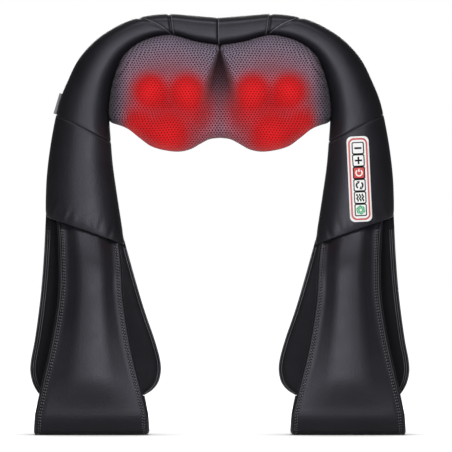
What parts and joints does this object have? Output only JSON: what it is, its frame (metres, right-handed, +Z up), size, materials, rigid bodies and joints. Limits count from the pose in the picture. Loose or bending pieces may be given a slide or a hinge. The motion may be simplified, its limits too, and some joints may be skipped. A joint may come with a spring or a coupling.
{
  "type": "shiatsu neck and shoulder massager",
  "caption": "U-shaped padded leather neck massager with heated kneading nodes under a mesh cover, hand loops at both ends and a key panel on one arm.",
  "frame": {"origin": "on the floor under the middle of the object, which stands on its hand loops", "axes": "+Z up from the hand loops to the collar; +X towards the arm that has the control panel, the viewer's right from the front; -Y towards the viewer, the way the massage nodes face"},
  "size_m": [0.4, 0.0975, 0.4429],
  "materials": {
    "leather": "soft coated, fine grain, satin",
    "lining": "coated, matt",
    "foam": "open-cell foam",
    "spacer_mesh": "open knit with small holes",
    "tag": "woven, blank",
    "zip_tape": "woven tape with moulded coil",
    "nickel": "plated",
    "housing": "moulded",
    "steel": "turned",
    "brass": "turned",
    "nylon": "moulded",
    "black_plastic": "moulded, fine texture",
    "heated_node": "translucent, lit red from inside",
    "white_gloss": "polished, with a thin red line",
    "white_key": "polished, printed symbol",
    "red_key": "polished, white symbol",
    "circuit_board": "lacquered board with switches"
  },
  "bodies": {
    "collar": {"collar_cover_front": "leather", "collar_cover_back": "leather", "collar_pad": "foam", "mesh_cover": "spacer_mesh", "back_panel": "lining", "back_pad": "foam", "zip_tape": "zip_tape", "gearbox_front": "housing", "gearbox_rear": "housing", "gearbox_screw_1": "steel", "gearbox_screw_2": "steel", "gearbox_screw_3": "steel", "gearbox_screw_4": "steel", "motor_can": "steel", "motor_end_cap": "black_plastic", "left_bush": "brass", "right_bush": "brass", "left_idler_pin": "steel", "right_idler_pin": "steel"},
    "left_arm": {"left_arm_cover_front": "leather", "left_arm_cover_back": "leather", "left_arm_pad": "foam", "left_hand_strap": "leather", "left_wing": "lining", "side_tag": "tag"},
    "right_arm": {"right_arm_cover_front": "leather", "right_arm_cover_back": "leather", "right_arm_pad": "foam", "right_hand_strap": "leather", "right_wing": "lining", "panel_bezel": "white_gloss", "panel_tray": "black_plastic", "control_board": "circuit_board", "power_socket": "black_plastic"},
    "motor_rotor": {"motor_armature": "steel", "worm": "brass"},
    "zip_slider": {"zip_slider": "nickel"},
    "zip_pull": {"zip_pull": "nickel"},
    "left_idler": {"left_idler_gear": "nylon"},
    "left_head": {"left_output_gear": "nylon", "left_head_carrier": "black_plastic", "left_head_cap": "steel", "left_small_node_1": "heated_node", "left_small_node_2": "heated_node", "left_large_node_1": "heated_node", "left_large_node_2": "heated_node"},
    "right_idler": {"right_idler_gear": "nylon"},
    "right_head": {"right_output_gear": "nylon", "right_head_carrier": "black_plastic", "right_head_cap": "steel", "right_small_node_1": "heated_node", "right_small_node_2": "heated_node", "right_large_node_1": "heated_node", "right_large_node_2": "heated_node"},
    "button_minus": {"button_minus": "white_key"},
    "button_plus": {"button_plus": "white_key"},
    "button_power": {"button_power": "red_key"},
    "button_direction": {"button_direction": "white_key"},
    "button_heat": {"button_heat": "white_key"},
    "button_speed": {"button_speed": "white_key"}
  },
  "joints": [
    {"name": "left_arm_bend", "type": "hinge", "parent": "collar", "child": "left_arm", "pos_m": [-0.1389, 0.0088, 0.33145], "axis": [-0.8953, 0, 0.4454], "range_deg": [-15, 35]},
    {"name": "right_arm_bend", "type": "hinge", "parent": "collar", "child": "right_arm", "pos_m": [0.1389, 0.0088, 0.33145], "axis": [-0.8953, 0, -0.4454], "range_deg": [-15, 35]},
    {"name": "right_head_spin", "type": "hinge", "parent": "collar", "child": "right_head", "pos_m": [0.056, 0.0088, 0.3445], "axis": [0, 1, 0], "continuous": true},
    {"name": "left_head_spin", "type": "hinge", "parent": "collar", "child": "left_head", "pos_m": [-0.056, 0.0088, 0.3445], "axis": [0, 1, 0], "continuous": true},
    {"name": "left_idler_spin", "type": "hinge", "parent": "collar", "child": "left_idler", "pos_m": [-0.02, 0.0088, 0.3445], "axis": [0, 1, 0], "continuous": true},
    {"name": "right_idler_spin", "type": "hinge", "parent": "collar", "child": "right_idler", "pos_m": [0.02, 0.0088, 0.3445], "axis": [0, 1, 0], "continuous": true},
    {"name": "motor_spin", "type": "hinge", "parent": "collar", "child": "motor_rotor", "pos_m": [0, 0.0138, 0.3445], "axis": [0, 0, 1], "continuous": true},
    {"name": "minus_press", "type": "slide", "parent": "right_arm", "child": "button_minus", "axis": [0, 1, 0], "range_m": [0, 0.0008], "stiffness_N_per_m": 400, "springref_m": -0.0005},
    {"name": "plus_press", "type": "slide", "parent": "right_arm", "child": "button_plus", "axis": [0, 1, 0], "range_m": [0, 0.0008], "stiffness_N_per_m": 400, "springref_m": -0.0005},
    {"name": "power_press", "type": "slide", "parent": "right_arm", "child": "button_power", "axis": [0, 1, 0], "range_m": [0, 0.0008], "stiffness_N_per_m": 400, "springref_m": -0.0005},
    {"name": "direction_press", "type": "slide", "parent": "right_arm", "child": "button_direction", "axis": [0, 1, 0], "range_m": [0, 0.0008], "stiffness_N_per_m": 400, "springref_m": -0.0005},
    {"name": "heat_press", "type": "slide", "parent": "right_arm", "child": "button_heat", "axis": [0, 1, 0], "range_m": [0, 0.0008], "stiffness_N_per_m": 400, "springref_m": -0.0005},
    {"name": "speed_press", "type": "slide", "parent": "right_arm", "child": "button_speed", "axis": [0, 1, 0], "range_m": [0, 0.0008], "stiffness_N_per_m": 400, "springref_m": -0.0005},
    {"name": "zip_slide", "type": "slide", "parent": "collar", "child": "zip_slider", "axis": [1, 0, 0], "range_m": [0, 0.146]},
    {"name": "zip_pull_swing", "type": "hinge", "parent": "zip_slider", "child": "zip_pull", "pos_m": [-0.073, 0.0423, 0.3428], "axis": [1, 0, 0], "range_deg": [0, 160]}
  ],
  "couplings": [
    {"joint": "left_head_spin", "follows": "right_head_spin", "ratio": -1},
    {"joint": "right_idler_spin", "follows": "right_head_spin", "ratio": -3},
    {"joint": "left_idler_spin", "follows": "right_head_spin", "ratio": 3},
    {"joint": "motor_spin", "follows": "right_head_spin", "ratio": 72}
  ]
}
